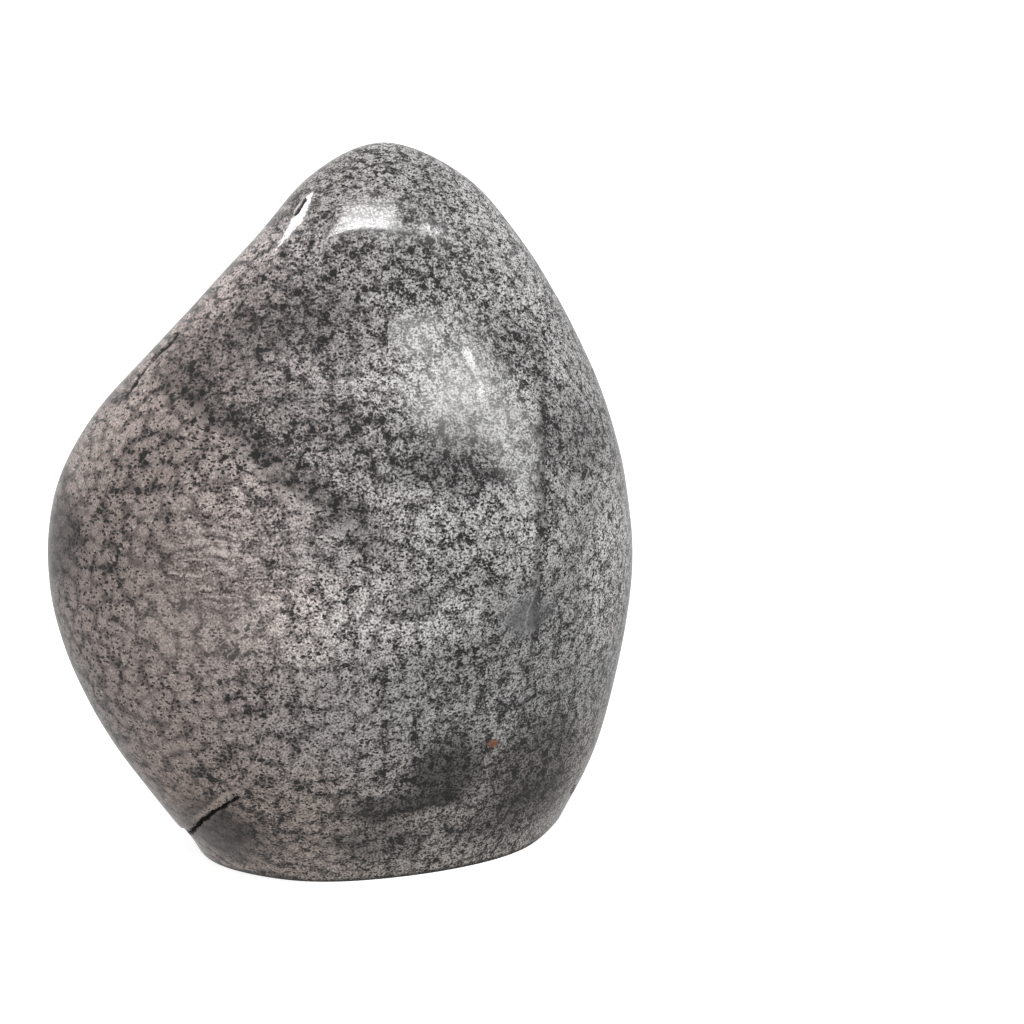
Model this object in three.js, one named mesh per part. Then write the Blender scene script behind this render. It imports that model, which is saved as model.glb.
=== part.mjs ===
// A polished fossil coral head: one freeform stone, ground to a leaning flame shape and cut off flat
// at its foot so that it stands. Millimetres, +Z up. X runs across the broad face, the broad face
// looks towards -Y, and the origin is the middle of the stone's footprint, on the flat cut.
import * as THREE from "three";

// Driving sizes.
const HEIGHT = 120;
const FULLNESS = 0.04; // how far a section bulges past an ellipse, halfway between the guides

// The lattice of flat facets: the walls are a wrapped box, so the stone has no pole.
const ACROSS = 24;
const DEEP = 16;
const RINGS = 28;

const STONE_GREY = 0x7d7977;

// Where both guide outlines pass over the top of the stone.
const PEAK = new THREE.Vector3(7, 2, HEIGHT);

// The outline across the broad face: from the foot, up the left lobe, over the peak, down the right.
const FACE_OUTLINE = [
  [-29, 0, 0],
  [-36.4, 0.5, 12],
  [-43.8, 1, 25],
  [-48.8, 1.5, 38],
  [-50.7, 2, 51],
  [-48.8, 2, 63.5],
  [-42.6, 2, 75],
  [-33.4, 1.5, 85],
  [-23, 1, 95.5],
  [-13.2, 1, 106],
  [-4.9, 1.5, 114.8],
  PEAK.toArray(),
  [20.2, 2.5, 114.8],
  [27.9, 3, 107],
  [34.8, 3.5, 97],
  [41, 4, 85.5],
  [45.9, 4, 73.5],
  [49.3, 4, 61.3],
  [50.7, 3.5, 48],
  [49.7, 3, 34.5],
  [46.3, 2, 19],
  [42.2, 1, 8],
  [38.2, 0.5, 0],
];

// The outline from front to back: from the foot, up the front, over the peak, down the back.
const FLANK_OUTLINE = [
  [3, -22, 0],
  [0, -25.5, 12],
  [-2, -28, 25],
  [-2, -29.5, 38],
  [0, -29.8, 51],
  [3, -28.4, 63.5],
  [6, -24.8, 75],
  [8, -20, 85],
  [8.5, -16, 95.5],
  [8, -12.6, 106],
  [7.5, -7.4, 114.8],
  PEAK.toArray(),
  [7, 11.2, 114.8],
  [7, 15.5, 107],
  [6, 19.5, 97],
  [5, 23, 85.5],
  [4, 25.5, 73.5],
  [2, 27, 61.3],
  [0, 27.5, 48],
  [0, 27, 34.5],
  [2, 25.5, 19],
  [3, 23.5, 8],
  [4, 22, 0],
];

// Soft swells and hollows left by grinding the stone by hand: where, how wide, and how far out.
const RELIEF = [
  { name: "swell of the crown", at: [2, -12, 103], reach: 10, rise: 1.5 },
  { name: "hollow under the crown", at: [0, -15, 92], reach: 10, rise: -1.1 },
  { name: "swell over the left lobe", at: [-22, -15, 84], reach: 12, rise: 1.2 },
  { name: "shoulder on the right of the face", at: [15, -22, 75], reach: 13, rise: 1.4 },
  { name: "lower shoulder", at: [23, -25, 58], reach: 13, rise: 2.4 },
  { name: "ground facet at the right of the foot", at: [37, -12, 0], reach: 9, rise: -1.8 },
  { name: "ground facet at the left of the foot", at: [-22, -17, 0], reach: 10, rise: -1.2 },
  { name: "swell low on the back", at: [-16, 26, 46], reach: 24, rise: 1.4 },
  { name: "hollow high on the back", at: [16, 19, 92], reach: 17, rise: -1.5 },
];

const RISING = 0; // the curve parameter at the foot of an outline's first half
const FALLING = 1; // and of its second half
const PEAK_AT = 0.5; // both outlines have as many points on each side of the peak
const HALVINGS = 32;

function guide(points) {
  const places = points.map((point) => new THREE.Vector3(...point));
  return new THREE.CatmullRomCurve3(places, false, "catmullrom", 0.5);
}

const faceGuide = guide(FACE_OUTLINE);
const flankGuide = guide(FLANK_OUTLINE);

// The point of a guide at height z, on its rising or its falling half.
function guideAt(curve, half, z) {
  let below = half;
  let above = PEAK_AT;
  for (let i = 0; i < HALVINGS; i++) {
    const middle = (below + above) / 2;
    if (curve.getPoint(middle).z < z) below = middle;
    else above = middle;
  }
  return curve.getPoint((below + above) / 2).setZ(z);
}

// The surface at height z and turn round the stone, 0 at the right and a quarter turn at the back.
// The section passes smoothly through the four guides.
function surface(z, turn) {
  const right = guideAt(faceGuide, FALLING, z);
  const left = guideAt(faceGuide, RISING, z);
  const back = guideAt(flankGuide, FALLING, z);
  const front = guideAt(flankGuide, RISING, z);
  const cos = Math.cos(turn);
  const sin = Math.sin(turn);
  const middle = new THREE.Vector3()
    .addScaledVector(left, (cos * cos) / 2)
    .addScaledVector(right, (cos * cos) / 2)
    .addScaledVector(front, (sin * sin) / 2)
    .addScaledVector(back, (sin * sin) / 2);
  const outward = new THREE.Vector3()
    .addScaledVector(right.sub(left), cos / 2)
    .addScaledVector(back.sub(front), sin / 2)
    .multiplyScalar(1 + FULLNESS * Math.sin(2 * turn) ** 2);
  const point = middle.clone().add(outward);
  const rise = RELIEF.reduce((sum, { at, reach, rise: most }) => {
    const away = point.distanceTo(new THREE.Vector3(...at)) / reach;
    return sum + most * Math.exp(-away * away);
  }, 0);
  const direction = outward.divideScalar(1 + outward.length());
  return point.addScaledVector(direction, rise).setZ(z);
}

// Carries a point of the box, each side from -1 to 1, to the stone: its bottom becomes the flat cut,
// and its walls and top the dome above, as a cube is blown up into a ball, so no facet is a sliver.
function wrap(box) {
  const across = Math.tan((Math.PI / 4) * box.x);
  const deep = Math.tan((Math.PI / 4) * box.y);
  const up = Math.tan((Math.PI / 8) * (box.z + 1));
  const turn = Math.atan2(deep, across);
  if (box.z === -1) {
    const centre = surface(0, 0).add(surface(0, Math.PI)).multiplyScalar(0.5);
    return centre.lerp(surface(0, turn), Math.max(Math.abs(box.x), Math.abs(box.y)));
  }
  const fromPeak = Math.atan2(Math.hypot(across, deep), up);
  return surface(HEIGHT * Math.cos(fromPeak), turn);
}

function stoneGeometry() {
  const geometry = new THREE.BoxGeometry(2, 2, 2, ACROSS, DEEP, RINGS);
  const position = geometry.getAttribute("position");
  const point = new THREE.Vector3();
  for (let i = 0; i < position.count; i++) {
    point.fromBufferAttribute(position, i);
    position.setXYZ(i, ...wrap(point).toArray());
  }
  geometry.deleteAttribute("uv");
  geometry.computeVertexNormals();
  geometry.computeBoundingBox();
  const middle = geometry.boundingBox.getCenter(new THREE.Vector3());
  return geometry.translate(-middle.x, -middle.y, 0);
}

const polishedLimestone = new THREE.MeshStandardMaterial({
  color: STONE_GREY,
  roughness: 0.22,
  metalness: 0,
});

const coralStone = new THREE.Mesh(stoneGeometry(), polishedLimestone);
coralStone.name = "coral_stone";

const object = new THREE.Group();
object.add(coralStone);

export default object;
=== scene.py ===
"""The looks of one polished fossil coral head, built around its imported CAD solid.

The stone is grey limestone made of a coral colony. It is ground by hand to a leaning flame shape,
polished to a gloss, and cut off flat at its foot. The cut surface shows the coral's cups as pale
flowers with fine radiating walls, and the mud between them as round dark spots. A dark seam, a
fissure and two pale veins cross it, and one open crack bites into the left of the foot.

Lengths are in millimetres in the tables below and in metres in every mesh.
"""

import logging
import math
from dataclasses import dataclass, replace
from enum import Enum
from typing import Iterable, Mapping, Optional, Sequence, Union

import bmesh
import bpy
from mathutils import Matrix, Vector, noise
from mathutils.bvhtree import BVHTree


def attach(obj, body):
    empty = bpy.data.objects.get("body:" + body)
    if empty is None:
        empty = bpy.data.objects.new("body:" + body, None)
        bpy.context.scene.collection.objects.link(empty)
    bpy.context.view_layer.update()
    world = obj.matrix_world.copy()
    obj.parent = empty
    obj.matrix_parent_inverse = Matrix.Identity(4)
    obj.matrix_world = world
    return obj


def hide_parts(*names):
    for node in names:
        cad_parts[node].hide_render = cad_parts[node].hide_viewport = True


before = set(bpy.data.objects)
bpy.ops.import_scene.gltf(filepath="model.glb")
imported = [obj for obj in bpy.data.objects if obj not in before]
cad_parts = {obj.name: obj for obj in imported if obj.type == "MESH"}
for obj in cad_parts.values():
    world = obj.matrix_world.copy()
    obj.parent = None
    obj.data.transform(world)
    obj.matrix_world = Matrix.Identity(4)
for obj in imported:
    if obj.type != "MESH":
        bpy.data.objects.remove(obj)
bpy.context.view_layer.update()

log = logging.getLogger("fossil_coral")

MM = 0.001
Triple = tuple[float, float, float]
Socket = bpy.types.NodeSocket
Feed = Union[Socket, float, Sequence[float]]

WHITE = "#ffffff"

# Settings that many nodes share.
MULTIPLY = {"operation": "MULTIPLY"}
MULTIPLY_ADD = {"operation": "MULTIPLY_ADD"}
SUBTRACT = {"operation": "SUBTRACT"}
SCALE = {"operation": "SCALE"}
LENGTH = {"operation": "LENGTH"}
SMOOTH = {"interpolation_type": "SMOOTHSTEP"}
UNCLAMPED = {"clamp": False}
COLOURS = {"data_type": "RGBA"}


# --- Colour and nodes ---


def linear(hex_colour: str) -> tuple[float, float, float, float]:
    """Turns an sRGB hex colour into the linear values that a shader takes.

    Args:
        hex_colour: Six hex digits after a hash sign.

    Returns:
        Linear red, green, blue and an alpha of 1.
    """
    channels = [int(hex_colour[i : i + 2], 16) / 255 for i in (1, 3, 5)]
    lit = [c / 12.92 if c <= 0.04045 else ((c + 0.055) / 1.055) ** 2.4 for c in channels]
    return (lit[0], lit[1], lit[2], 1.0)


def add(
    tree: bpy.types.NodeTree,
    kind: str,
    settings: Optional[Mapping[str, object]] = None,
    inputs: Optional[Mapping[Union[int, str], Feed]] = None,
    out: Union[int, str] = 0,
) -> Optional[Socket]:
    """Adds one node with its settings and its links.

    Args:
        tree: The node tree that takes the node.
        kind: The node's type name, without the leading "ShaderNode".
        settings: Properties to set on the node.
        inputs: What feeds each input: another node's output, or a plain value. A map range
            turns the range from 1 to 2 into that from 3 to 4. Either is 0 to 1 if it is left out.
        out: Which output to give back.

    Returns:
        The chosen output, from which the node itself can be reached, or None if it has none.
    """
    made = tree.nodes.new("ShaderNode" + kind)
    for name, value in (settings or {}).items():
        setattr(made, name, value)
    for key, feed in (inputs or {}).items():
        if isinstance(feed, bpy.types.NodeSocket):
            tree.links.new(feed, made.inputs[key])
        else:
            made.inputs[key].default_value = feed
    return made.outputs[out] if made.outputs else None


# --- What is in the stone ---


class Fill(Enum):
    """What the coral is filled with in a patch, as the colour that the stone takes there."""

    CALCITE = "#c9c6c3"
    CLEAR_CALCITE = "#c8c7c6"
    MUD = "#4d4a49"
    OLIVE_MUD = "#33312a"
    IRON_MUD = "#3b2a25"
    RUST = "#94562f"
    CLAY = "#6c6b6c"


# Mud and clear calcite darken or lighten the coral, and the other fills cover its pattern.
BLENDS = {
    Fill.MUD: "MULTIPLY",
    Fill.OLIVE_MUD: "MULTIPLY",
    Fill.IRON_MUD: "MULTIPLY",
    Fill.CLEAR_CALCITE: "DODGE",
}


@dataclass(frozen=True)
class Patch:
    """A rounded patch where the stone has another fill, or where shade or a sheen is painted on it.

    Attributes:
        name: What the patch is.
        centre: Its middle, in mm.
        reach: Its half size along X, Y and Z, in mm.
        fill: What fills the coral there.
        amount: How much of the fill's colour the stone takes, from 0 to 1.
        crowding: How many more dark spots there are (fewer, if negative).
    """

    name: str
    centre: Triple
    reach: Triple
    fill: Fill
    amount: float
    crowding: float = 0.0


@dataclass(frozen=True)
class Sheet:
    """A thin sheet right through the stone, such as a seam or a vein, or a flat band of painted shadow
    round the foot.

    Attributes:
        name: What the sheet is.
        through: A point on it, in mm.
        normal: The direction across it.
        width: Its full width, in mm.
        centre: The middle of the stretch where it is open, in mm.
        reach: Half the size of that stretch along X, Y and Z, in mm.
        fill: What fills it.
        amount: How strongly it shows, from 0 to 1.
        sway: How far it wanders from a plane, in mm.
        ragged: How far single grains stray across its sides, in mm.
        crowding: How many more dark spots there are.
    """

    name: str
    through: Triple
    normal: Triple
    width: float
    centre: Triple
    reach: Triple
    fill: Fill
    amount: float
    sway: float
    ragged: float
    crowding: float = 0.0


PATCHES = (
    Patch("pale band by the left lobe", (-27, -24, 57), (13, 12, 6), Fill.CLEAR_CALCITE, 0.05, -0.2),
    Patch("pale middle", (-8, -28, 48), (15, 10, 9), Fill.CLEAR_CALCITE, 0.6, -0.12),
    Patch("pale below the seam", (10, -29, 58), (14, 9, 11), Fill.CLEAR_CALCITE, 0.24, 0.1),
    Patch("pale low on the left", (-26, -25, 47), (14, 10, 8), Fill.CALCITE, 0.16, -0.1),
    Patch("pale under the middle", (11, -28, 46), (9, 8, 5), Fill.CLEAR_CALCITE, 0.5),
    Patch("pale right flank", (42, -13, 51), (9, 14, 17), Fill.CLEAR_CALCITE, 0.72),
    Patch("pale right of the middle", (26, -25, 56), (7, 8, 6), Fill.CLEAR_CALCITE, 0.4),
    # Painted highlight: these pale patches on the ridge stand in for the milky sheen of the ridge
    # lamp's glare, and two of them thin out the dark spots there.
    Patch("painted sheen on the ridge", (15, -21, 80), (9, 9, 9), Fill.CALCITE, 0.3, -0.25),
    Patch("painted sheen, tail of the ridge", (23.5, -23, 73), (5.5, 8, 9), Fill.CALCITE, 0.2),
    Patch("painted sheen, top of the ridge", (9, -17, 91), (5, 8, 4), Fill.CALCITE, 0.22, -0.1),
    # Painted shade: the crown is darkened to take back the light of the crown lamp, and it gets more
    # dark spots.
    Patch("painted shade on the crown", (3, -6, 112), (20, 14, 13), Fill.MUD, 0.44, 0.2),
    Patch("dim left lobe", (-36, -15, 61), (14, 14, 14), Fill.MUD, 0.26),
    Patch("dim left edge", (-48, -7, 57), (6, 10, 9), Fill.MUD, 0.65),
    Patch("dim over the left lobe", (-29, -16, 73), (11, 10, 8), Fill.MUD, 0.28, 0.1),
    Patch("dim left slope", (-24, -14, 87), (14, 12, 9), Fill.MUD, 0.55, 0.1),
    Patch("dark waist", (-12, -12, 95), (13, 9, 7), Fill.MUD, 0.46, 0.3),
    Patch("dark left of the ridge", (-5, -17, 90), (13, 9, 6), Fill.MUD, 0.4, 0.25),
    Patch("dark over the seam", (-10, -21, 79), (11, 9, 6), Fill.MUD, 0.42, 0.2),
    Patch("dark belt under the crown", (9, -14, 101), (19, 9, 8), Fill.MUD, 0.26, 0.3),
    Patch("dim right of the ridge", (23, -17, 89), (10, 8, 7), Fill.MUD, 0.36, 0.2),
    Patch("dark middle", (4, -25, 74), (16, 9, 7), Fill.MUD, 0.3, 0.45),
    Patch("dark under the ridge", (14, -27, 70), (10, 8, 5), Fill.MUD, 0.42, 0.3),
    Patch("dim spot below the middle", (6, -29, 50.5), (4, 8, 3), Fill.MUD, 0.4, 0.1),
    Patch("dim high on the right flank", (34, -17, 73), (8, 10, 9), Fill.MUD, 0.38, 0.15),
    Patch("dark end of the seam", (16, -27, 38), (11, 9, 7), Fill.MUD, 0.1, 0.25),
    Patch("clay pocket", (25.5, -25, 45.5), (4, 6, 4), Fill.CLAY, 0.7, -0.6),
    Patch("dim low on the right", (29, -21, 27), (8, 8, 7), Fill.MUD, 0.2, 0.25),
    Patch("mud low on the right", (27, -19, 17), (13, 9, 9), Fill.MUD, 0.6, 0.35),
    Patch("mud right of the foot", (26, -18, 9), (16, 9, 6), Fill.MUD, 0.58, 0.3),
    Patch("olive mud at the foot", (12, -25.5, 20), (7.5, 6, 7.5), Fill.OLIVE_MUD, 0.78, 0.4),
    Patch("olive mud, lower tongue", (3, -25.5, 15.5), (11, 6, 3.2), Fill.OLIVE_MUD, 0.66, 0.2),
    Patch("smooth left of the foot", (-26, -19, 9), (11, 9, 8.5), Fill.MUD, 0.8, -0.2),
    Patch("iron streak", (4, -25, 14.8), (8, 5, 0.9), Fill.IRON_MUD, 0.5),
    Patch("dim front of the foot", (0, -24, 8), (11, 8, 6), Fill.MUD, 0.46, 0.2),
    Patch("dark belly of the back", (14, 27, 44), (24, 9, 13), Fill.MUD, 0.35, 0.3),
    Patch("pale top of the back", (4, 17, 96), (18, 9, 14), Fill.CLEAR_CALCITE, 0.4, -0.3),
    Patch("olive mud on the back", (-22, 22, 26), (10, 8, 8), Fill.OLIVE_MUD, 0.6, 0.1),
)

SHEETS = (
    Sheet("diagonal seam", (-9, -25, 69.5), (0.64, 0.08, 0.76), 9.0, (-14, -20, 72),
          (26, 22, 26), Fill.MUD, 0.62, 2.2, 3.5, 0.35),
    Sheet("fissure", (27.2, -24, 50), (1, -0.12, -0.04), 2.0, (28, -20, 58),
          (8, 14, 32), Fill.MUD, 0.5, 0.8, 2.0, 0.7),
    Sheet("shadow of the fissure", (27.6, -24, 50), (1, -0.12, -0.04), 4.6, (28, -20, 74),
          (9, 14, 20), Fill.MUD, 0.25, 1.2, 1.5),
    Sheet("pale vein on the right", (24.6, -24, 42), (1, 0, -0.21), 0.4, (25, -24, 43),
          (5, 8, 13), Fill.CALCITE, 0.6, 0.9, 0.35),
    Sheet("pale vein on the left", (-18, -26, 28), (1, 0, -0.36), 0.42, (-18, -26, 28),
          (6, 9, 10), Fill.CALCITE, 0.7, 0.8, 0.35),
    Sheet("chalky lip of the crack", (-26.0, -20.1, 15.2), (-0.45, 0.41, 0.79), 1.0,
          (-25.5, -19.5, 15.2), (7, 8, 8), Fill.CALCITE, 0.8, 0.3, 1.2),
    Sheet("pale vein on the back", (-6, 26, 60), (0.7, 0.1, -0.7), 0.5, (-4, 24, 62),
          (22, 12, 22), Fill.CALCITE, 0.6, 1.2, 0.35),
    # Painted contact shadow: a dark olive band round the foot, where the stone meets the floor, stands
    # in for shade, with a few more dark spots.
    Sheet("painted contact shadow along the rim", (0, 0, 0), (0, 0, 1), 2.2, (0, 0, 0),
          (90, 90, 20), Fill.OLIVE_MUD, 0.9, 0.1, 0.3),
)

RUST_SPOT = Patch("rust spot", (19.3, -24.1, 23.7), (1.05, 2.5, 0.8), Fill.RUST, 0.8)
STREAKED = Patch("coral cut along its tubes", (-21, -25, 57), (15, 12, 8), Fill.CLAY, 1.0)


@dataclass(frozen=True)
class Places:
    """The coordinates that every pattern reads, in mm.

    Attributes:
        exact: The place itself.
        cups: The place pushed a little way about, for the cups.
        tubes: Where the coral's tube at this place starts, across the middle of the stone.
        patches: The place pushed far about, for whole patches.
        wander: A slow wave from 0 to 1 that bends the sheets.
        grain: The fine grain of the stone, from 0 to 1.
    """

    exact: Socket
    cups: Socket
    tubes: Socket
    patches: Socket
    wander: Socket
    grain: Socket


@dataclass(frozen=True)
class PolishedCoral:
    """Coralline limestone, ground with finer and finer grit and buffed: calcite with a deep gloss,
    so it mirrors the lights sharply and pales at grazing angles. Mud takes a duller polish, and
    broken stone is matt.

    Attributes:
        cup: Distance between the coral's cups, in mm.
        septa: Radiating walls in one cup.
        pore: Distance between the mud-filled spots, in mm.
        grain: Size of the calcite grains, in mm.
        fleck: Distance between small dark flecks, and between bright crystals, in mm.
        sway: How far the cups are pushed out of line, in mm.
        drift: How far whole patches are pushed out of shape, in mm.
        fan: How fast the coral's tubes spread from the middle to front and back, per mm.
        core: Depth of the middle part where the tubes hardly spread, in mm.
        front: Depth at which the cups have their full size, in mm.
        heart: Height from which the tubes spread, in mm.
        slant: How far the tubes lean to the side, per mm of depth.
        ior: Calcite's mean index of refraction.
        gloss: Roughness of the buffed surface.
        matt: How much rougher broken stone is.
        shades: The stone's colours from the darkest tone to the palest.
        bare: Colour of broken stone, with its dirt and with painted shade deep in the crack and pits.
        cool: Tint of the stone's right side.
        warm: Tint of its left side.
        earthy: Tint of its foot.
    """

    cup: float = 2.4
    septa: int = 11
    pore: float = 1.5
    grain: float = 0.33
    fleck: float = 0.62
    sway: float = 0.7
    drift: float = 4.5
    fan: float = 0.02
    core: float = 8.0
    front: float = 30.0
    heart: float = 55.0
    slant: float = 0.3
    ior: float = 1.56
    gloss: float = 0.09
    matt: float = 0.7
    shades: tuple[tuple[float, str], ...] = (
        (0.0, "#151414"), (0.25, "#353332"), (0.5, "#6c6867"), (0.75, "#9c9896"), (1.0, "#cfccca"),
    )
    bare: str = "#1b1918"
    cool: str = "#fafdff"
    warm: str = "#fff0eb"
    earthy: str = "#fff7f0"

    def places(self, tree: bpy.types.NodeTree) -> Places:
        """Adds the coordinates.

        Args:
            tree: The material's node tree.

        Returns:
            The coordinates.
        """
        spot = add(tree, "TexCoord", out="Object")
        place = add(tree, "VectorMath", SCALE, {0: spot, "Scale": 1 / MM})
        shifted = []
        for scale, reach in ((0.31, self.sway), (0.09, self.drift)):
            drift = add(tree, "TexNoise", None, {"Vector": place, "Scale": scale}, "Color")
            drift = add(tree, "VectorMath", SUBTRACT, {0: drift, 1: (0.5, 0.5, 0.5)})
            drift = add(tree, "VectorMath", SCALE, {0: drift, "Scale": 2 * reach})
            shifted.append(add(tree, "VectorMath", None, {0: place, 1: drift}))
        wander = add(tree, "TexNoise", None,
                     {"Vector": place, "Scale": 0.22, "Detail": 3.0, "Roughness": 0.6})
        grain = add(tree, "TexNoise", None, {"Vector": place, "Scale": 1 / self.grain, "Detail": 1.0})
        way = add(tree, "SeparateXYZ", None, {0: shifted[0]}).node
        depth = add(tree, "CombineXYZ", None, {"X": self.core, "Y": way.outputs["Y"]})
        depth = add(tree, "VectorMath", LENGTH, {0: depth}, "Value")
        fan = add(tree, "Math", MULTIPLY_ADD, {0: depth, 1: self.fan, 2: 1.0})
        lean = add(tree, "Math", MULTIPLY_ADD,
                   {0: way.outputs["Y"], 1: self.slant, 2: way.outputs["X"]})
        rise = add(tree, "Math", SUBTRACT, {0: way.outputs["Z"], 1: self.heart})
        tubes = add(tree, "CombineXYZ", None, {"X": lean, "Y": rise})
        fan = add(tree, "Math", {"operation": "DIVIDE"}, {0: 1 + self.front * self.fan, 1: fan})
        tubes = add(tree, "VectorMath", SCALE, {0: tubes, "Scale": fan})
        return Places(place, shifted[0], tubes, shifted[1], wander, grain)

    def inside(self, tree: bpy.types.NodeTree, place: Socket, patch: Patch) -> Socket:
        """Adds how far a place is inside a patch.

        Args:
            tree: The material's node tree.
            place: The place in mm.
            patch: The patch.

        Returns:
            1 in the middle of the patch, fading to 0 past its edge.
        """
        away = add(tree, "VectorMath", SUBTRACT, {0: place, 1: patch.centre})
        away = add(tree, "VectorMath", {"operation": "DIVIDE"}, {0: away, 1: patch.reach})
        away = add(tree, "VectorMath", LENGTH, {0: away}, "Value")
        return add(tree, "MapRange", SMOOTH, {0: away, 1: 1.25, 2: 0.45})

    def across(self, tree: bpy.types.NodeTree, places: Places, sheet: Sheet) -> Socket:
        """Adds how squarely a place lies in a sheet.

        Args:
            tree: The material's node tree.
            places: The coordinates.
            sheet: The sheet.

        Returns:
            1 in the middle of the sheet, fading to 0 at its sides and past its ends.
        """
        normal = Vector(sheet.normal).normalized()
        wander = add(tree, "MapRange", UNCLAMPED,
                     {0: places.wander, 3: -2.2 * sheet.sway, 4: 2.2 * sheet.sway})
        depth = add(tree, "VectorMath", {"operation": "DOT_PRODUCT"},
                    {0: places.exact, 1: normal}, "Value")
        depth = add(tree, "Math", {"operation": "ADD"}, {0: depth, 1: wander})
        depth = add(tree, "Math", MULTIPLY_ADD, {0: places.grain, 1: 2 * sheet.ragged, 2: depth})
        depth = add(tree, "Math", SUBTRACT,
                    {0: depth, 1: normal.dot(Vector(sheet.through)) + sheet.ragged})
        depth = add(tree, "Math", {"operation": "ABSOLUTE"}, {0: depth})
        core = add(tree, "MapRange", SMOOTH, {0: depth, 1: 0.5 * sheet.width, 2: 0.1 * sheet.width})
        window = Patch(sheet.name, sheet.centre, sheet.reach, sheet.fill, 1.0)
        return add(tree, "Math", MULTIPLY, {0: core, 1: self.inside(tree, places.exact, window)})

    def crowding(self, tree: bpy.types.NodeTree, places: Places) -> Socket:
        """Adds how crowded the dark spots are.

        Args:
            tree: The material's node tree.
            places: The coordinates.

        Returns:
            About 0 in pale stone and 1 in dark stone.
        """
        total = add(tree, "TexNoise", None,
                    {"Vector": places.patches, "Scale": 0.075, "Detail": 2.0, "Roughness": 0.6})
        total = add(tree, "MapRange", UNCLAMPED, {0: total, 1: 0.3, 2: 0.7, 3: 0.15, 4: 0.85})
        for patch in PATCHES:
            if patch.crowding:
                total = add(tree, "Math", MULTIPLY_ADD,
                            {0: self.inside(tree, places.patches, patch), 1: patch.crowding,
                             2: total})
        for sheet in SHEETS:
            if sheet.crowding:
                total = add(tree, "Math", MULTIPLY_ADD,
                            {0: self.across(tree, places, sheet), 1: sheet.crowding, 2: total})
        return add(tree, "Clamp", None, {0: total})

    def cups(
        self, tree: bpy.types.NodeTree, places: Places, crowding: Socket
    ) -> tuple[Socket, Socket]:
        """Adds the coral's cups, each a pale flower round its own centre.

        Args:
            tree: The material's node tree.
            places: The coordinates.
            crowding: How crowded the dark spots are.

        Returns:
            The flower, from 0 to 1, and the muddy corners between cups, from 0 to 1.
        """
        cell = add(tree, "TexVoronoi", {"voronoi_dimensions": "2D"},
                   {"Vector": places.tubes, "Scale": 1 / self.cup, "Randomness": 0.95}).node
        arm = add(tree, "VectorMath", SUBTRACT, {0: places.tubes, 1: cell.outputs["Position"]})
        arm = add(tree, "SeparateXYZ", None, {0: arm}).node
        turn = add(tree, "Math", {"operation": "ARCTAN2"}, {0: arm.outputs["X"], 1: arm.outputs["Y"]})
        septa = add(tree, "Math", MULTIPLY, {0: turn, 1: self.septa})
        septa = add(tree, "Math", {"operation": "SINE"}, {0: septa})
        rays = add(tree, "Math", MULTIPLY_ADD, {0: septa, 1: 0.3, 2: 0.7})
        middle = add(tree, "MapRange", SMOOTH, {0: cell.outputs["Distance"], 1: 0.6, 2: 0.3})
        gap = add(tree, "Math", MULTIPLY_ADD, {0: places.grain, 1: 0.35, 2: cell.outputs["Distance"]})
        gap = add(tree, "Math", MULTIPLY_ADD, {0: crowding, 1: 0.16, 2: gap})
        corner = add(tree, "MapRange", SMOOTH, {0: gap, 1: 0.7, 2: 0.95})
        return add(tree, "Math", MULTIPLY, {0: middle, 1: rays}), corner

    def pores(
        self, tree: bpy.types.NodeTree, place: Socket, crowding: Socket, corner: Socket
    ) -> tuple[Socket, Socket]:
        """Adds the round mud-filled spots between the cups.

        Args:
            tree: The material's node tree.
            place: The place in mm, pushed about for the cups.
            crowding: How crowded the spots are.
            corner: Where the corners between cups are.

        Returns:
            How dark the spot is, 0 outside, and its thin pale wall, from 0 to 1.
        """
        cell = add(tree, "TexVoronoi", None, {"Vector": place, "Scale": 1 / self.pore}).node
        pick = add(tree, "SeparateColor", None, {0: cell.outputs["Color"]}).node
        chance = add(tree, "Math", MULTIPLY_ADD, {0: crowding, 1: 0.7, 2: pick.outputs["Red"]})
        chance = add(tree, "Math", MULTIPLY_ADD, {0: corner, 1: 0.55, 2: chance})
        radius = add(tree, "MapRange", None, {0: chance, 1: 0.88, 2: 1.8, 3: 0.0, 4: 0.5})
        ragged = add(tree, "TexNoise", None, {"Vector": place, "Scale": 2.4})
        depth = add(tree, "Math", SUBTRACT, {0: radius, 1: cell.outputs["Distance"]})
        depth = add(tree, "Math", MULTIPLY_ADD, {0: ragged, 1: 0.6, 2: depth})
        depth = add(tree, "Math", SUBTRACT, {0: depth, 1: 0.3})
        spot = add(tree, "MapRange", SMOOTH, {0: depth, 1: -0.03, 2: 0.05})
        wall = add(tree, "MapRange", SMOOTH, {0: depth, 1: -0.2, 2: -0.08})
        wall = add(tree, "Math", SUBTRACT, {0: wall, 1: spot})
        full = add(tree, "MapRange", None, {0: pick.outputs["Green"], 3: 0.35, 4: 1.0})
        return add(tree, "Math", MULTIPLY, {0: spot, 1: full}), wall

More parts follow.
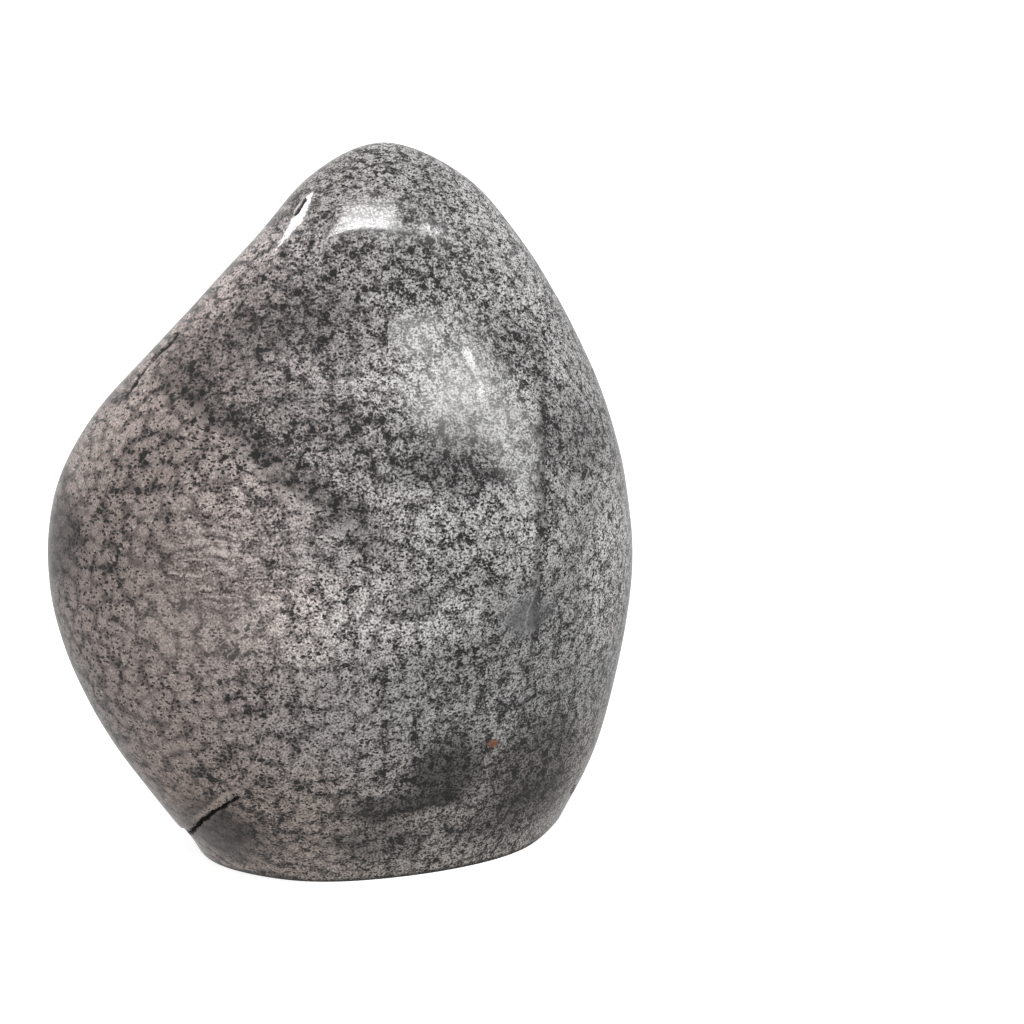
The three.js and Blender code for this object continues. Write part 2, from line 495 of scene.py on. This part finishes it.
    def flecks(
        self, tree: bpy.types.NodeTree, places: Places, crowding: Socket, corner: Socket
    ) -> tuple[Socket, Socket]:
        """Adds small dark flecks and bright crystals.

        Args:
            tree: The material's node tree.
            places: The coordinates.
            crowding: How crowded the dark spots are.
            corner: Where the corners between cups are.

        Returns:
            1 in a dark fleck, and 1 in a bright crystal.
        """
        stray = add(tree, "MapRange", UNCLAMPED, {0: places.grain, 3: -0.2, 4: 0.2})
        flat = add(tree, "VectorMath", MULTIPLY, {0: places.cups, 1: (0.85, 0.85, 1.25)})
        cell = add(tree, "TexVoronoi", None, {"Vector": flat, "Scale": 1 / self.fleck}).node
        pick = add(tree, "SeparateColor", None, {0: cell.outputs["Color"]}).node
        away = add(tree, "Math", {"operation": "ADD"}, {0: cell.outputs["Distance"], 1: stray})
        found = []
        for channel, shift, more in (("Green", -0.14, 0.34), ("Blue", -0.16, 0.0)):
            size = add(tree, "MapRange", UNCLAMPED, {0: pick.outputs[channel], 3: shift, 4: 0.42})
            size = add(tree, "Math", MULTIPLY_ADD, {0: crowding, 1: more, 2: size})
            size = add(tree, "Math", MULTIPLY_ADD, {0: corner, 1: 0.5 * more, 2: size})
            size = add(tree, "Math", {"operation": "MINIMUM"}, {0: size, 1: 0.46})
            depth = add(tree, "Math", SUBTRACT, {0: size, 1: away})
            found.append(add(tree, "MapRange", SMOOTH, {0: depth, 1: -0.03, 2: 0.07}))
        return found[0], found[1]

    def tone(
        self, tree: bpy.types.NodeTree, places: Places, crowding: Socket
    ) -> tuple[Socket, Socket]:
        """Adds the coral's own pattern of light and dark.

        Args:
            tree: The material's node tree.
            places: The coordinates.
            crowding: How crowded the dark spots are.

        Returns:
            The tone, about 0 for the darkest stone and 1 for the palest, and the dark flecks.
        """
        flower, corner = self.cups(tree, places, crowding)
        pore, wall = self.pores(tree, places.cups, crowding, corner)
        fleck, crystal = self.flecks(tree, places, crowding, corner)
        streak_place = add(tree, "VectorMath", MULTIPLY, {0: places.cups, 1: (0.28, 0.5, 1.5)})
        streaks = add(tree, "TexNoise", None,
                      {"Vector": streak_place, "Scale": 0.9, "Detail": 3.0, "Roughness": 0.6})
        streaked = self.inside(tree, places.patches, STREAKED)
        # The cups and spots show less where the tubes are cut along, and the grain is crisper
        # towards the right.
        calm = add(tree, "MapRange", None, {0: streaked, 3: 1.0, 4: 0.55})
        side = add(tree, "SeparateXYZ", None, {0: places.patches}).node
        crisp = add(tree, "MapRange", None, {0: side.outputs["X"], 1: -36.0, 2: 6.0, 3: 0.75, 4: 2.1})

        shade = add(tree, "Math", SUBTRACT, {0: places.grain, 1: 0.5})
        shade = add(tree, "Math", MULTIPLY_ADD, {0: shade, 1: crisp, 2: 0.63})
        for part, weight in ((crystal, 0.4), (wall, 0.1), (crowding, -0.06)):
            shade = add(tree, "Math", MULTIPLY_ADD, {0: part, 1: weight, 2: shade})
        for part, weight in ((flower, 0.26), (pore, -0.52), (fleck, -0.58), (corner, -0.1)):
            part = add(tree, "Math", MULTIPLY, {0: part, 1: calm})
            shade = add(tree, "Math", MULTIPLY_ADD, {0: part, 1: weight, 2: shade})
        streaks = add(tree, "MapRange", UNCLAMPED, {0: streaks, 1: 0.35, 2: 0.65, 3: -0.25, 4: 0.2})
        shade = add(tree, "Math", MULTIPLY_ADD, {0: streaks, 1: streaked, 2: shade})
        return shade, fleck

    def build(self, name: str) -> bpy.types.Material:
        """Builds the material.

        Args:
            name: The material's name.

        Returns:
            The finished material.
        """
        material = bpy.data.materials.new(name)
        material.use_nodes = True
        tree = material.node_tree
        tree.nodes.clear()
        places = self.places(tree)
        crowding = self.crowding(tree, places)
        tone, fleck = self.tone(tree, places, crowding)

        colour = add(tree, "ValToRGB", None, {0: tone})
        stops = colour.node.color_ramp.elements
        for position, _ in self.shades[1:-1]:
            stops.new(position)
        for stop, (position, shade) in zip(stops, self.shades):
            stop.position = position
            stop.color = linear(shade)

        colour = self.filled(tree, places, colour)

        # The stone turns from warm at the left to cool at the right, and earthy at the foot.
        side = add(tree, "SeparateXYZ", None, {0: places.patches}).node
        warmth = add(tree, "MapRange", SMOOTH,
                     {0: side.outputs["X"], 1: -36.0, 2: 14.0, 3: 1.0, 4: 0.0})
        low = add(tree, "MapRange", SMOOTH, {0: side.outputs["Z"], 1: 30.0, 2: 12.0})
        for share, near, far in ((warmth, self.cool, self.warm), (low, WHITE, self.earthy)):
            tint = add(tree, "Mix", COLOURS, {0: share, 6: linear(near), 7: linear(far)}, 2)
            colour = add(tree, "Mix", {"data_type": "RGBA", "blend_type": "MULTIPLY"},
                         {0: 1.0, 6: colour, 7: tint}, 2)

        broken = add(tree, "Attribute", {"attribute_name": BROKEN}, out="Fac")
        # Broken stone takes a dark colour: its dirt, and painted shade deep in the crack and pits.
        colour = add(tree, "Mix", COLOURS, {0: broken, 6: colour, 7: linear(self.bare)}, 2)
        rough = add(tree, "MapRange", None,
                    {0: fleck, 1: 0.3, 2: 1.0, 3: self.gloss, 4: 2 * self.gloss})
        rough = add(tree, "Math", MULTIPLY_ADD, {0: broken, 1: self.matt, 2: rough})
        surface = add(tree, "BsdfPrincipled", None,
                      {"Base Color": colour, "Roughness": rough, "IOR": self.ior})
        add(tree, "OutputMaterial", None, {"Surface": surface})
        return material

    def filled(self, tree: bpy.types.NodeTree, places: Places, colour: Socket) -> Socket:
        """Adds what fills the patches, the sheets and the rust spot.

        Args:
            tree: The material's node tree.
            places: The coordinates.
            colour: The coral's own colour.

        Returns:
            The colour with all of them.
        """
        layers = [(patch, self.inside(tree, places.patches, patch)) for patch in PATCHES]
        layers += [(sheet, self.across(tree, places, sheet)) for sheet in SHEETS]
        layers.append((RUST_SPOT, self.inside(tree, places.cups, RUST_SPOT)))
        for layer, share in layers:
            share = add(tree, "Math", MULTIPLY, {0: share, 1: layer.amount})
            settings = {"data_type": "RGBA", "blend_type": BLENDS.get(layer.fill, "MIX")}
            inputs = {0: share, 6: colour, 7: linear(layer.fill.value)}
            colour = add(tree, "Mix", settings, inputs, 2)
        return colour


@dataclass(frozen=True)
class SawnFoot:
    """The same limestone as the saw left it: a dusty matt cut with faint parallel blade marks.

    Attributes:
        mark: Distance between blade marks, in mm.
        groove: Depth of the marks, in mm.
        roughness: Roughness of the sawn face.
        dark: Its darkest colour.
        pale: Its palest colour.
    """

    mark: float = 1.4
    groove: float = 0.05
    roughness: float = 0.85
    dark: str = "#55514e"
    pale: str = "#a39e99"

    def build(self, name: str) -> bpy.types.Material:
        """Builds the material.

        Args:
            name: The material's name.

        Returns:
            The finished material.
        """
        material = bpy.data.materials.new(name)
        material.use_nodes = True
        tree = material.node_tree
        tree.nodes.clear()
        spot = add(tree, "TexCoord", out="Object")
        place = add(tree, "VectorMath", SCALE, {0: spot, "Scale": 1 / MM})
        cell = add(tree, "TexVoronoi", None, {"Vector": place, "Scale": 0.35}, "Distance")
        grain = add(tree, "TexNoise", None, {"Vector": place, "Scale": 1.7, "Detail": 4.0})
        # At a scale of 1 the bands are 0.314 mm apart.
        marks = add(tree, "TexWave", {"bands_direction": "X"},
                    {"Vector": place, "Scale": 0.314 / self.mark, "Distortion": 1.5})
        shade = add(tree, "Math", MULTIPLY_ADD, {0: marks, 1: 0.15, 2: grain})
        shade = add(tree, "Math", MULTIPLY_ADD, {0: cell, 1: -0.35, 2: shade})
        colour = add(tree, "Mix", COLOURS, {0: shade, 6: linear(self.dark), 7: linear(self.pale)}, 2)
        bump = add(tree, "Bump", None, {"Strength": 0.5, "Distance": self.groove * MM, "Height": marks})
        surface = add(tree, "BsdfPrincipled", None,
                      {"Base Color": colour, "Roughness": self.roughness, "Normal": bump})
        add(tree, "OutputMaterial", None, {"Surface": surface})
        return material


# --- The stone's shape ---

BROKEN = "broken"  # how far each vertex lies in broken stone, from 0, polished, to 1
ROUTE_STEP = 0.5  # mm between the points of a route that is laid on the stone
SAME_SPOT = 0.05  # mm, within which two points of a route are one
CLOSER = ((1.4, 0.45), (0.8, 0.25), (0.45, 0.14))  # margins round a break and edges there, in mm


def point(place: Triple) -> Vector:
    """Turns a place in mm into metres."""
    return Vector(place) * MM


def distance_to_route(spot: Vector, route: Sequence[Vector]) -> tuple[float, float]:
    """Measures how far a spot is from a route of straight stretches.

    Args:
        spot: The spot, in metres.
        route: The route's points, in metres.

    Returns:
        The distance in metres, and how far along the route the nearest point is, from 0 to 1.
    """
    nearest = (math.inf, 0.0)
    for step, (start, end) in enumerate(zip(route, route[1:])):
        stretch = end - start
        share = min(1.0, max(0.0, (spot - start).dot(stretch) / stretch.length_squared))
        away = (spot - start - stretch * share).length
        nearest = min(nearest, (away, (step + share) / (len(route) - 1)))
    return nearest


@dataclass(frozen=True)
class Break:
    """A groove of broken stone along a route over the surface, or a chip where the route is short.

    Attributes:
        name: What the break is.
        route: Points that it runs through, in mm.
        width: Its full width at its start, in mm.
        depth: Its depth at its start, in mm.
        tail: Its width and depth at its end, as a share of those at its start.
        ragged: How uneven its edge is, as a share of its width.
        dirt_and_shade: How dark the stone in it is, from 0, clean, to 1, as dirt and as painted shade
            in the hollow.
    """

    name: str
    route: tuple[Triple, ...]
    width: float
    depth: float
    tail: float = 1.0
    ragged: float = 0.35
    dirt_and_shade: float = 1.0

    def points(self) -> list[Vector]:
        """Gives the route in metres."""
        return [point(place) for place in self.route]

    def laid(self, bm: bmesh.types.BMesh) -> "Break":
        """Gives the same break with its route laid on a surface.

        Args:
            bm: The mesh.

        Returns:
            The break, its route in short steps, each on the mesh.
        """
        surface = BVHTree.FromBMesh(bm)
        route = []
        for start, end in zip(self.points(), self.points()[1:]):
            steps = max(1, round((end - start).length / (ROUTE_STEP * MM)))
            for step in range(steps + 1):
                spot, _, _, _ = surface.find_nearest(start.lerp(end, step / steps))
                if not route or (spot - route[-1]).length > SAME_SPOT * MM:
                    route.append(spot)
        return replace(self, route=tuple(tuple(spot / MM) for spot in route))

    def near(self, bm: bmesh.types.BMesh, reach: float) -> list[tuple[bmesh.types.BMVert, float]]:
        """Finds the vertices near the route.

        Args:
            bm: The mesh.
            reach: How near they are, in mm.

        Returns:
            Each vertex with its distance from the route, in metres.
        """
        route = self.points()
        middle = (route[0] + route[-1]) / 2
        span = max((end - middle).length for end in route) + reach * MM
        close = (v for v in bm.verts if (v.co - middle).length_squared < span * span)
        found = ((v, distance_to_route(v.co, route)[0]) for v in close)
        return [(vert, away) for vert, away in found if away < reach * MM]

    def bite(self, spot: Vector) -> tuple[float, float]:
        """Works out how deep the break is at a spot.

        Args:
            spot: A spot on the unbroken surface, in metres.

        Returns:
            The depth in metres, and how broken the stone is there and how dark its dirt and painted
            shade make it, from 0 to 1.
        """
        away, along = distance_to_route(spot, self.points())
        size = 1 + (self.tail - 1) * along
        # The edge wanders over about the break's width, and its bed over a quarter of that.
        rough = noise.noise(spot * (1.3 / (self.width * MM)))
        half = 0.5 * self.width * MM * size * (1 + self.ragged * rough)
        if half <= 0 or away >= half:
            return 0.0, 0.0
        inside = 1 - (away / half) ** 2
        texture = 1 + 0.3 * noise.noise(spot * (4 / (self.width * MM)))
        return self.depth * MM * size * inside**0.7 * texture, min(1.0, 2.5 * inside) * self.dirt_and_shade


@dataclass
class CoralStone:
    """The whole stone: its solid from the frame, made smooth, with its crack, chips and foot.

    Attributes:
        node: The CAD node that it stands for.
        levels: How many times the solid's facets are halved.
        rim: Width of the worn edge round the foot, in mm.
        swells: Where the grinding left the stone a little full: place, reach and height, in mm.
        wave: Wavelength of the waviness left by grinding by hand, in mm.
        swing: Height of that waviness, in mm.
        calm: Height over the foot below which the waviness fades, in mm.
        crack: The open crack.
        step: How far the stone below the crack stands back, in mm.
        step_reach: How far from the crack that fades out, in mm.
        chips: The chips and pits.
    """

    node: str = "coral_stone"
    levels: int = 2
    rim: float = 0.7
    swells: tuple[tuple[Triple, float, float], ...] = (
        ((3.5, -13, 101.5), 7.0, 0.5),
        ((9, -19, 89), 8.5, 0.4),
        ((-14, -12, 97), 8.0, 0.55),
        ((18.6, -21, 81.8), 5.5, 0.45),
    )
    wave: float = 17.0
    swing: float = 0.16
    calm: float = 8.0
    step: float = 0.4
    step_reach: float = 5.0
    crack: Break = Break(
        "crack",
        ((-31.2, -6.0, 4.0), (-30.0, -11.0, 6.4), (-28.0, -17.3, 11.3), (-25.6, -20.5, 14.4),
         (-22.0, -23.2, 17.6)),
        width=1.4, depth=1.6, tail=0.4, ragged=0.7,
    )
    chips: tuple[Break, ...] = (
        Break("chip by the crown", ((-8.2, -5.8, 108.5), (-6.9, -5.2, 110.3)), 1.1, 0.7, 0.8, 0.2),
        Break("torn edge, top", ((-28.4, -3.6, 88.8), (-30.0, -3.6, 87.1)), 2.4, 0.9, 0.9, 0.8),
        Break("torn edge, middle", ((-30.4, -3.4, 86.6), (-32.0, -3.4, 84.9)), 1.6, 0.6, 0.8, 1.0),
        Break("torn edge, low", ((-32.6, -3.6, 84.3), (-34.0, -3.8, 82.7)), 1.3, 0.5, 0.8, 1.0),
        Break("torn edge, foot", ((-34.6, -4.6, 82.0), (-36.4, -5.2, 79.9)), 1.8, 0.6, 0.5, 1.0),
        Break("nick at the right of the foot", ((37.6, -7.2, 6.0), (37.1, -9.2, 7.4)), 1.9, 0.45,
              dirt_and_shade=0.3),
        Break("chip off the right of the rim", ((37.0, 8.0, 0.0), (35.0, 11.0, 0.0)), 3.0, 0.9,
              dirt_and_shade=0.4),
        Break("chip off the back of the rim", ((-12.0, 21.0, 0.0), (-16.0, 20.0, 0.0)), 2.4, 0.7,
              dirt_and_shade=0.4),
    )

    def solid(self) -> bmesh.types.BMesh:
        """Copies the CAD solid and joins its triangles back to four-sided faces.

        Returns:
            The merged copy.
        """
        bm = bmesh.new()
        bm.from_mesh(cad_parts[self.node].data)
        bmesh.ops.remove_doubles(bm, verts=bm.verts, dist=1e-6)
        bmesh.ops.join_triangles(
            bm, faces=bm.faces, angle_face_threshold=math.radians(40),
            angle_shape_threshold=math.radians(80),
        )
        return bm

    def is_foot(self, face: bmesh.types.BMFace) -> bool:
        """Says whether a face is part of the flat foot."""
        return face.normal.z < -0.999 and face.calc_center_median().z < 0.02 * MM

    def wear_rim(self, bm: bmesh.types.BMesh) -> None:
        """Bevels the edge between the walls and the sawn foot.

        Args:
            bm: The faceted solid.
        """
        flat = {f for f in bm.faces if self.is_foot(f)}
        rim = [e for e in bm.edges if sum(f in flat for f in e.link_faces) == 1]
        bmesh.ops.bevel(
            bm, geom=rim, offset=self.rim * MM, offset_type="OFFSET", segments=2, profile=0.5,
            affect="EDGES", material=-1, clamp_overlap=True,
        )

    def smooth(self, bm: bmesh.types.BMesh) -> bmesh.types.BMesh:
        """Rounds the facets off.

        Args:
            bm: The faceted solid, which is used up.

        Returns:
            The smooth solid.
        """
        rough = bpy.data.meshes.new("rough_stone")
        bm.to_mesh(rough)
        bm.free()
        holder = bpy.data.objects.new("rough_stone", rough)
        bpy.context.scene.collection.objects.link(holder)
        rounding = holder.modifiers.new("rounding", "SUBSURF")
        rounding.levels = rounding.render_levels = self.levels
        graph = bpy.context.evaluated_depsgraph_get()
        round_mesh = bpy.data.meshes.new_from_object(holder.evaluated_get(graph))
        smooth = bmesh.new()
        smooth.from_mesh(round_mesh)
        bpy.data.objects.remove(holder)
        bpy.data.meshes.remove(rough)
        bpy.data.meshes.remove(round_mesh)
        return smooth

    def refine(self, bm: bmesh.types.BMesh, brk: Break) -> None:
        """Halves the long edges round a break, three times, each time closer to it.

        Args:
            bm: The smooth solid.
            brk: The break, laid on it.
        """
        for margin, longest in CLOSER:
            near = {vert for vert, _ in brk.near(bm, 0.7 * brk.width + margin)}
            edges = [e for e in bm.edges if e.verts[0] in near and e.verts[1] in near
                     and e.calc_length() > longest * MM]
            made = bmesh.ops.subdivide_edges(bm, edges=edges, cuts=1, use_grid_fill=True)
            fresh = [v for v in made["geom_inner"] if isinstance(v, bmesh.types.BMVert)]
            raised = [v for v in fresh if v.co.z > self.rim * MM]
            bmesh.ops.smooth_vert(bm, verts=raised, factor=0.5, use_axis_x=True, use_axis_y=True,
                                  use_axis_z=True)

    def grind(self, bm: bmesh.types.BMesh) -> None:
        """Adds the swells, and the slow waviness that fades out towards the foot.

        Args:
            bm: The smooth solid.
        """
        bm.normal_update()
        for vert in bm.verts:
            wave = noise.noise(vert.co / (self.wave * MM))
            wave += 0.4 * noise.noise(vert.co / (0.45 * self.wave * MM))
            height = wave * self.swing * min(1.0, vert.co.z / (self.calm * MM))
            for place, reach, swell in self.swells:
                away = (vert.co - point(place)).length / (reach * MM)
                height += swell * math.exp(-away * away) if away < 3 else 0.0
            vert.co += vert.normal * (height * MM)

    def open_crack(self, bm: bmesh.types.BMesh) -> None:
        """Sets the stone below the crack back, with nothing moved above it.

        Args:
            bm: The ground solid.
        """
        route = self.crack.points()
        down = (route[-1] - route[1]).cross(Vector((0, 1, 0))).normalized()
        if down.z > 0:
            down.negate()
        bm.normal_update()
        for vert, away in self.crack.near(bm, 2.5 * self.step_reach):
            _, along = distance_to_route(vert.co, route)
            below = (vert.co - route[2]).dot(down)
            if below > 0:
                fade = math.exp(-((away / (self.step_reach * MM)) ** 2))
                # It fades out at the foot and towards the crack's tip too.
                low = min(1.0, vert.co.z / (2 * MM))
                tip = min(1.0, 1.2 * (1 - along) + 0.1)
                vert.co -= vert.normal * (self.step * MM * fade * low * tip)

    def knock(self, bm: bmesh.types.BMesh, breaks: Iterable[Break]) -> None:
        """Cuts breaks into the surface and marks the stone that they lay bare.

        Args:
            bm: The ground solid.
            breaks: The crack and the chips, laid on it before the crack was opened.
        """
        layer = bm.verts.layers.float.new(BROKEN)
        bm.normal_update()
        for brk in breaks:
            for vert, _ in brk.near(bm, brk.width):
                depth, bare = brk.bite(vert.co)
                if bare:
                    vert.co -= vert.normal * depth
                    vert[layer] = max(vert[layer], bare)

    def build(self, polished: bpy.types.Material, sawn: bpy.types.Material) -> bpy.types.Object:
        """Builds the stone and dresses it.

        Args:
            polished: The finish of its walls.
            sawn: The finish of its foot.

        Returns:
            The finished piece, riding on the frame in place of its CAD node.
        """
        bm = self.solid()
        self.wear_rim(bm)
        bm = self.smooth(bm)
        for brk in (self.crack, *self.chips):
            self.refine(bm, brk.laid(bm))
        self.grind(bm)
        breaks = [brk.laid(bm) for brk in (self.crack, *self.chips)]
        self.open_crack(bm)
        self.knock(bm, breaks)
        bm.normal_update()
        for face in bm.faces:
            foot = self.is_foot(face)
            face.smooth = not foot
            face.material_index = int(foot)
        mesh = bpy.data.meshes.new("fossil_coral_head")
        bm.to_mesh(mesh)
        bm.free()
        mesh.materials.append(polished)
        mesh.materials.append(sawn)
        stone = bpy.data.objects.new("fossil_coral_head", mesh)
        bpy.context.scene.collection.objects.link(stone)
        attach(stone, "root")
        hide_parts(self.node)
        return stone


# --- The studio ---


@dataclass(frozen=True)
class Softbox:
    """A flat lamp that faces a spot on the stone.

    Attributes:
        name: What the lamp does.
        target: The spot that it faces, in mm.
        bearing: Its direction from the spot, in degrees: 0 in front, 90 at the right.
        height: Its angle above the horizon, in degrees.
        wide: Its width as seen from the spot, in degrees.
        tall: Its height as seen from the spot, in degrees.
        brightness: How bright its face is, where white paper in full light is 1.
        away: Its distance from the spot, in mm.
        sheets: How many sheets of diffuser it has. They share its lower edge, each reaches higher
            than the one before, and together they fade its light towards the top.
        flare: How much wider the lowest sheet is than the tallest, as a share.
    """

    name: str
    target: Triple
    bearing: float
    height: float
    wide: float
    tall: float
    brightness: float
    away: float = 500.0
    sheets: int = 1
    flare: float = 0.0

    def build(self) -> None:
        """Builds the lamp."""
        for sheet in range(self.sheets):
            self.build_sheet((sheet + 1) / self.sheets)

    def build_sheet(self, share: float) -> None:
        """Builds one sheet of the lamp.

        Args:
            share: How far up the lamp the sheet reaches, from 0 to 1.
        """
        tall = self.tall * share
        wide = self.wide * (1 + self.flare * (1 - share))
        side, up = math.radians(self.bearing), math.radians(self.height - (self.tall - tall) / 2)
        out = Vector((math.sin(side) * math.cos(up), -math.cos(side) * math.cos(up), math.sin(up)))
        data = bpy.data.lights.new(self.name, "AREA")
        data.shape = "RECTANGLE"
        data.size = 2 * self.away * MM * math.tan(math.radians(wide / 2))
        data.size_y = 2 * self.away * MM * math.tan(math.radians(tall / 2))
        data.energy = self.brightness / self.sheets * math.pi * data.size * data.size_y
        lamp = bpy.data.objects.new(self.name, data)
        lamp.matrix_world = (
            Matrix.Translation(point(self.target) + out * self.away * MM)
            @ out.to_track_quat("Z", "Y").to_matrix().to_4x4()
        )
        lamp.visible_camera = False
        bpy.context.scene.collection.objects.link(lamp)


@dataclass
class Studio:
    """The pale floor with its rising rim, the dim room, the lamps and the camera.

    Attributes:
        floor_radius: Radius of the flat part of the floor, in mm.
        rim_height: Height of the rim, which hides the horizon, in mm.
        rim_steps: How far each ring of the rim spreads, and its share of the height.
        drop: How far the floor lies under the foot, in mm.
        paper: The floor's colour.
        glow: Light that the floor gives off by itself, to stay an even white.
        sky: Brightness of the room above.
        ground: Brightness of the room below.
        eye: The camera's place, in mm.
        yaw: How far the camera looks to the right of straight ahead, in degrees.
        pitch: How far it looks down, in degrees.
        lens: Its focal length, in mm, on a sensor 36 mm wide.
        lamps: The lamps.
    """

    floor_radius: float = 2500.0
    rim_height: float = 1500.0
    rim_steps: tuple[tuple[float, float], ...] = ((1.15, 0.06), (1.08, 0.3), (1.02, 0.64))
    drop: float = 0.03
    paper: str = "#f4f4f4"
    glow: float = 0.75
    sky: float = 0.58
    ground: float = 0.5
    eye: Triple = (-24.78, -234.66, 112.0)
    yaw: float = 12.69
    pitch: float = 12.95
    lens: float = 49.22
    lamps: tuple[Softbox, ...] = (
        Softbox("crown light", (3, -12, 107), -9, 64, 38, 26, 17.5, 150.0, 8, 0.75),
        Softbox("ridge light", (14, -19, 84), 30, 45, 44, 12, 1.4),
        Softbox("ridge core", (18, -19.5, 84), 46, 45, 5, 4.5, 9.0),
        Softbox("ridge tail", (22, -24, 70), 50, 18, 10, 30, 1.1),
        Softbox("left light", (-8.8, -7.5, 106.5), -122, 46, 21, 10, 15.0, 70.0),
    )

    def build_floor(self) -> None:
        """Builds the plain pale floor, just under the stone's foot, and its rim."""
        bm = bmesh.new()
        bmesh.ops.create_circle(bm, cap_ends=True, segments=96, radius=self.floor_radius * MM)
        edge = [e for e in bm.edges if e.is_boundary]
        for spread, rise in self.rim_steps:
            made = bmesh.ops.extrude_edge_only(bm, edges=edge)
            verts = [v for v in made["geom"] if isinstance(v, bmesh.types.BMVert)]
            edge = [e for e in made["geom"] if isinstance(e, bmesh.types.BMEdge) and e.is_boundary]
            bmesh.ops.scale(bm, vec=(spread, spread, 1), verts=verts)
            bmesh.ops.translate(bm, vec=(0, 0, rise * self.rim_height * MM), verts=verts)
        bmesh.ops.translate(bm, vec=(0, 0, -self.drop * MM), verts=bm.verts)
        mesh = bpy.data.meshes.new("floor")
        bm.to_mesh(mesh)
        bm.free()
        paper = bpy.data.materials.new("white_paper")
        paper.use_nodes = True
        shader = paper.node_tree.nodes["Principled BSDF"]
        shader.inputs["Base Color"].default_value = linear(self.paper)
        shader.inputs["Roughness"].default_value = 0.9
        shader.inputs["Emission Color"].default_value = linear(WHITE)
        shader.inputs["Emission Strength"].default_value = self.glow
        mesh.materials.append(paper)
        floor = bpy.data.objects.new("floor", mesh)
        floor.visible_diffuse = floor.visible_glossy = floor.visible_shadow = False
        bpy.context.scene.collection.objects.link(floor)

    def build_room(self) -> None:
        """Builds the dim room, a little brighter above than below."""
        world = bpy.data.worlds.new("studio")
        bpy.context.scene.world = world
        world.use_nodes = True
        tree = world.node_tree
        way = add(tree, "TexCoord", out="Generated")
        up = add(tree, "SeparateXYZ", None, {0: way}, "Z")
        strength = add(tree, "MapRange", None, {0: up, 1: -0.4, 2: 0.4, 3: self.ground, 4: self.sky})
        tree.links.new(strength, tree.nodes["Background"].inputs["Strength"])
        tree.nodes["Background"].inputs["Color"].default_value = linear(WHITE)

    def build(self) -> None:
        """Builds the studio round the origin."""
        scene = bpy.context.scene
        scene.view_settings.view_transform = "Standard"
        self.build_floor()
        self.build_room()
        for lamp in self.lamps:
            lamp.build()
        data = bpy.data.cameras.new("camera")
        data.lens = self.lens
        camera = bpy.data.objects.new("camera", data)
        camera.location = point(self.eye)
        camera.rotation_euler = (math.radians(90 - self.pitch), 0, math.radians(-self.yaw))
        scene.collection.objects.link(camera)
        scene.camera = camera


# --- The scene ---


def main() -> None:
    """Builds the finishes, the stone and the studio, in that order."""
    polished = PolishedCoral().build("polished_fossil_coral")
    sawn = SawnFoot().build("sawn_foot")
    stone = CoralStone().build(polished, sawn)
    log.info("%s: %d faces", stone.name, len(stone.data.polygons))
    studio = Studio()
    studio.build()
    log.info("studio: %d lamps", len(studio.lamps))


if __name__ == "__main__":
    logging.basicConfig(level=logging.INFO, format="%(name)s: %(message)s")
    main()
